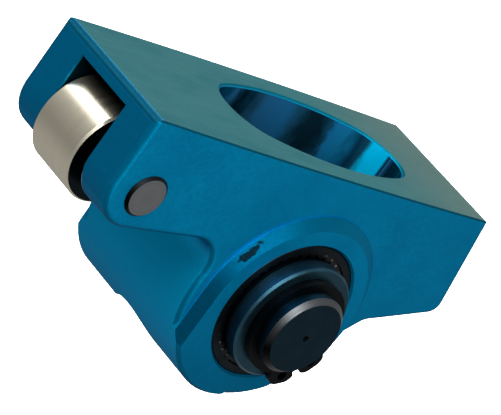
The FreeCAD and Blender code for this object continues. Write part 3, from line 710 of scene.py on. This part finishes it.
@dataclass(frozen=True)
class SteelFinish:
    """Bare or blackened steel with fine tool marks, and painted highlight and shade on end
    faces and bevels where given.
    """

    name: str
    light: RGB
    dark: RGB
    roughness: float = 0.35
    grain: Grain = Grain.NONE
    axis: tuple[float, float] = (0.0, 0.0)
    spread: float = 0.08
    face: RGB | None = None
    # Painted on the upward part of the end bevel: a highlight on the trunnion, shade on
    # the axle.
    bevel: RGB | None = None
    bevel_reach: float = 2.0 * MM
    # Painted shade on the rest of the end bevel, and the dark of any centre pit.
    pit_and_bevel_shade: RGB = (0.0006, 0.0008, 0.001)
    relief: float = 0.35

    def build(self) -> bpy.types.Material:
        """Make the material.

        Returns:
            The finished material.
        """
        bench = NodeBench(self.name)
        marks = bench.noise(self._grain_place(bench), 2600.0, 3.0, 0.6)
        cloud = bench.noise(bench.place, 320.0, 3.0)
        worn = bench.math(
            "ADD",
            bench.span(marks, 0.32, 0.7, 0.0, 0.5),
            bench.span(cloud, 0.38, 0.66, 0.0, 0.5),
        )
        colour = bench.blend(worn, self.light, self.dark)
        endwise = bench.math("ABSOLUTE", bench.axes(bench.facing)[1])
        # End faces take their own colour; on the roller it is painted shade.
        if self.face:
            colour = bench.blend(bench.span(endwise, 0.9, 0.97), colour, self.face)
        if self.bevel:
            from_axis = self._from_axis(bench)
            sloped = bench.within(endwise, MITRE, 0.2)
            rim = bench.span(from_axis, self.bevel_reach, self.bevel_reach * 1.01)
            # Painted highlight: the part of the bevel that faces up.
            upward_highlight = bench.span(bench.axes(bench.facing)[2], -0.35, 0.3)
            # Painted shade on the rest of the bevel and the centre pit.
            colour = bench.blend(sloped, colour, self.pit_and_bevel_shade)
            colour = bench.blend(
                bench.every(sloped, rim, upward_highlight), colour, self.bevel
            )
        bench.feed(bench.shader, "Base Color", colour)
        bench.feed(bench.shader, "Metallic", 1.0)
        bench.feed(bench.shader, "Roughness", bench.span(
            marks, 0.3, 0.7,
            max(0.05, self.roughness - self.spread), self.roughness + self.spread,
        ))
        bench.bump(marks, 0.005 * MM, self.relief)
        return bench.material

    def _grain_place(self, bench: NodeBench) -> Socket:
        """Where the grain noise is read, so that marks run the right way.

        Args:
            bench: the material being built.

        Returns:
            The position to read at.
        """
        if self.grain is Grain.NONE:
            return bench.place
        rings = bench.add("CombineXYZ")
        bench.feed(rings, 0, self._from_axis(bench))
        bench.feed(rings, 1, bench.axes(bench.place)[1])
        return rings.outputs[0]

    def _from_axis(self, bench: NodeBench) -> Socket:
        """Distance from the axis that lies across the arm.

        Args:
            bench: the material being built.

        Returns:
            The distance.
        """
        x, _, z = bench.axes(bench.place)
        outward = bench.add("CombineXYZ")
        bench.feed(outward, 0, bench.math("SUBTRACT", x, self.axis[0]))
        bench.feed(outward, 2, bench.math("SUBTRACT", z, self.axis[1]))
        length = bench.add("VectorMath", operation="LENGTH")
        bench.feed(length, 0, outward.outputs[0])
        return length.outputs["Value"]


@dataclass
class Assembly:
    """A group of CAD nodes that one finish or several finishes dress."""

    title: str
    finishes: dict[str, AnodisedFinish | SteelFinish]

    def dress(self, cad_nodes: dict[str, bpy.types.Object]) -> None:
        """Give each node its finish and report it.

        Args:
            cad_nodes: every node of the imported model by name.
        """
        for node_name, finish in self.finishes.items():
            node = cad_nodes[node_name]
            material = bpy.data.materials.get(finish.name) or finish.build()
            node.data.materials.clear()
            node.data.materials.append(material)
            LOG.info("%s: %s in %s", self.title, node_name, finish.name)


@dataclass
class SoftPanel:
    """One soft rectangular light that faces the part."""

    name: str
    place: Vector
    width: float
    height: float
    power: float
    tint: RGB = (1.0, 1.0, 1.0)

    def build(self, target: Vector) -> bpy.types.Object:
        """Hang the panel.

        Args:
            target: point that it faces.

        Returns:
            The light object.
        """
        lamp = bpy.data.lights.new(self.name, "AREA")
        lamp.shape = "RECTANGLE"
        lamp.size = self.width
        lamp.size_y = self.height
        lamp.energy = self.power
        lamp.color = self.tint
        item = bpy.data.objects.new(self.name, lamp)
        item.location = self.place
        facing = target - self.place
        item.rotation_mode = "QUATERNION"
        item.rotation_quaternion = facing.to_track_quat("-Z", "Y")
        bpy.context.scene.collection.objects.link(item)
        LOG.info("light %s, %.1f W", self.name, self.power)
        return item


@dataclass
class Studio:
    """Pale floor, even sky, soft panels and the camera."""

    floor_drop: float = 60.0 * MM
    floor_reach: float = 12.0
    floor_tint: RGB = (0.9, 0.9, 0.9)
    sky_ramp: tuple[float, ...] = (-0.6, 0.9, 0.25, 0.75)
    bounce_ramp: tuple[float, ...] = (-0.35, -0.7, 0.0, 0.3)
    lens: float = 248.95
    sensor_width: float = 36.0
    clip: tuple[float, float] = (0.01, 50.0)
    camera_place: Vector = field(
        default_factory=lambda: Vector((-0.356516, -0.278986, 0.142435))
    )
    camera_turn: Quaternion = field(
        default_factory=lambda: Quaternion(
            (0.794882, 0.429321, -0.414806, -0.108544)
        )
    )
    panels: list[SoftPanel] = field(default_factory=lambda: [
        SoftPanel("key_panel", Vector((-0.50, -0.15, 0.45)), 0.35, 0.35, 6.0),
        SoftPanel("side_panel", Vector((-0.10, -0.60, 0.20)), 0.40, 0.40, 4.0),
        SoftPanel("top_panel", Vector((0.25, 0.20, 0.55)), 0.40, 0.40, 4.0),
        SoftPanel("back_panel", Vector((-0.25, 0.36, 0.44)), 0.26, 0.30, 1.0),
    ])

    def build(self) -> None:
        """Set up everything that isn't the part."""
        low = CAD_BOX[0]
        self._floor(low.z - self.floor_drop)
        self._sky()
        target = (CAD_BOX[0] + CAD_BOX[1]) / 2
        for panel in self.panels:
            panel.build(target)
        self._camera()
        view = bpy.context.scene.view_settings
        view.view_transform = "Standard"
        view.look = "None"

    def _floor(self, height: float) -> None:
        """Lay the pale floor.

        Args:
            height: level of the floor.
        """
        reach = self.floor_reach
        corners = [
            (-reach, -reach, height), (reach, -reach, height),
            (reach, reach, height), (-reach, reach, height),
        ]
        mesh = bpy.data.meshes.new("floor")
        mesh.from_pydata(corners, [], [(0, 1, 2, 3)])
        floor = bpy.data.objects.new("floor", mesh)
        bpy.context.scene.collection.objects.link(floor)
        material = bpy.data.materials.new("pale_floor")
        material.use_nodes = True
        shader = material.node_tree.nodes["Principled BSDF"]
        shader.inputs["Base Color"].default_value = (*self.floor_tint, 1.0)
        shader.inputs["Roughness"].default_value = 0.9
        shader.inputs["Emission Color"].default_value = (1.0, 1.0, 1.0, 1.0)
        shader.inputs["Emission Strength"].default_value = 1.0
        mesh.materials.append(material)
        floor.visible_glossy = False
        floor.visible_diffuse = False

    def _sky(self) -> None:
        """Even light from all round, brighter above than below."""
        world = bpy.data.worlds.new("studio_sky")
        bpy.context.scene.world = world
        world.use_nodes = True
        nodes, links = world.node_tree.nodes, world.node_tree.links
        nodes.clear()
        output = nodes.new("ShaderNodeOutputWorld")
        background = nodes.new("ShaderNodeBackground")
        direction = nodes.new("ShaderNodeTexCoord")
        split = nodes.new("ShaderNodeSeparateXYZ")
        ramp = nodes.new("ShaderNodeMapRange")
        links.new(direction.outputs["Generated"], split.inputs[0])
        links.new(split.outputs[2], ramp.inputs[0])
        for socket, value in enumerate(self.sky_ramp, start=1):
            ramp.inputs[socket].default_value = value
        bounce = nodes.new("ShaderNodeMapRange")
        links.new(split.outputs[2], bounce.inputs[0])
        for socket, value in enumerate(self.bounce_ramp, start=1):
            bounce.inputs[socket].default_value = value
        total = nodes.new("ShaderNodeMath")
        links.new(ramp.outputs[0], total.inputs[0])
        links.new(bounce.outputs[0], total.inputs[1])
        links.new(total.outputs[0], background.inputs["Strength"])
        links.new(background.outputs[0], output.inputs[0])

    def _camera(self) -> None:
        """Put the camera in its place."""
        data = bpy.data.cameras.new("studio_camera")
        data.lens = self.lens
        data.sensor_width = self.sensor_width
        data.clip_start, data.clip_end = self.clip
        camera = bpy.data.objects.new("studio_camera", data)
        camera.location = self.camera_place
        camera.rotation_mode = "QUATERNION"
        camera.rotation_quaternion = self.camera_turn
        bpy.context.scene.collection.objects.link(camera)
        bpy.context.scene.camera = camera


BLUE = AnodisedFinish()
GROUND = SteelFinish(
    "ground_roller_steel", (0.71, 0.66, 0.53), (0.65, 0.60, 0.47),
    roughness=0.30, grain=Grain.TURNED, axis=ROLLER_AXIS,
    # End faces coloured near black: painted shade.
    spread=0.03, face=(0.008, 0.014, 0.018), relief=0.04,
)
# Axle: the turned wall and end bevel are coloured near black as painted shade; the end
# face keeps a plain steel grey.
AXLE = SteelFinish(
    "axle_steel", (0.010, 0.012, 0.014), (0.006, 0.007, 0.008), roughness=0.42,
    grain=Grain.TURNED, axis=ROLLER_AXIS,
    face=(0.205, 0.215, 0.225), bevel=(0.010, 0.012, 0.014),
)
# Trunnion: its bevel colour is a painted highlight on the upper end chamfer.
TRUNNION = SteelFinish(
    "hardened_trunnion_steel", (0.004, 0.030, 0.052), (0.002, 0.018, 0.032),
    roughness=0.36, grain=Grain.TURNED, bevel=(0.085, 0.092, 0.098),
)
BLACK = SteelFinish(
    "blackened_steel", (0.016, 0.024, 0.030), (0.007, 0.011, 0.014), roughness=0.38,
)
RING = SteelFinish(
    "snap_ring_steel", (0.0048, 0.0068, 0.0086), (0.0024, 0.0036, 0.0046),
    roughness=0.40,
)
WASHER = SteelFinish(
    "washer_steel", (0.034, 0.105, 0.150), (0.016, 0.052, 0.076), roughness=0.34,
    grain=Grain.TURNED,
)
# Needles coloured nearly black: painted shade in the narrow gap where they sit.
NEEDLE = SteelFinish(
    "needle_steel", (0.040, 0.042, 0.044), (0.015, 0.016, 0.017), roughness=0.34,
)

ASSEMBLIES = [
    Assembly("arm", {"arm_body": BLUE, "pushrod_cup": BLACK}),
    Assembly("nose roller", {"roller_wheel": GROUND, "roller_axle": AXLE}),
    Assembly("fulcrum", {
        "trunnion": TRUNNION,
        "near_snap_ring": RING, "far_snap_ring": RING,
        "near_thrust_washer": WASHER, "far_thrust_washer": WASHER,
    }),
    Assembly("needle bearings", {
        "near_bearing_cup": BLACK, "far_bearing_cup": BLACK,
        "near_needle_row": NEEDLE, "far_needle_row": NEEDLE,
    }),
]


def main() -> None:
    """Dress the part, then light it."""
    logging.basicConfig(level=logging.INFO, format="%(message)s")
    for assembly in ASSEMBLIES:
        assembly.dress(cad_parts)
    Studio().build()


if __name__ == "__main__":
    main()
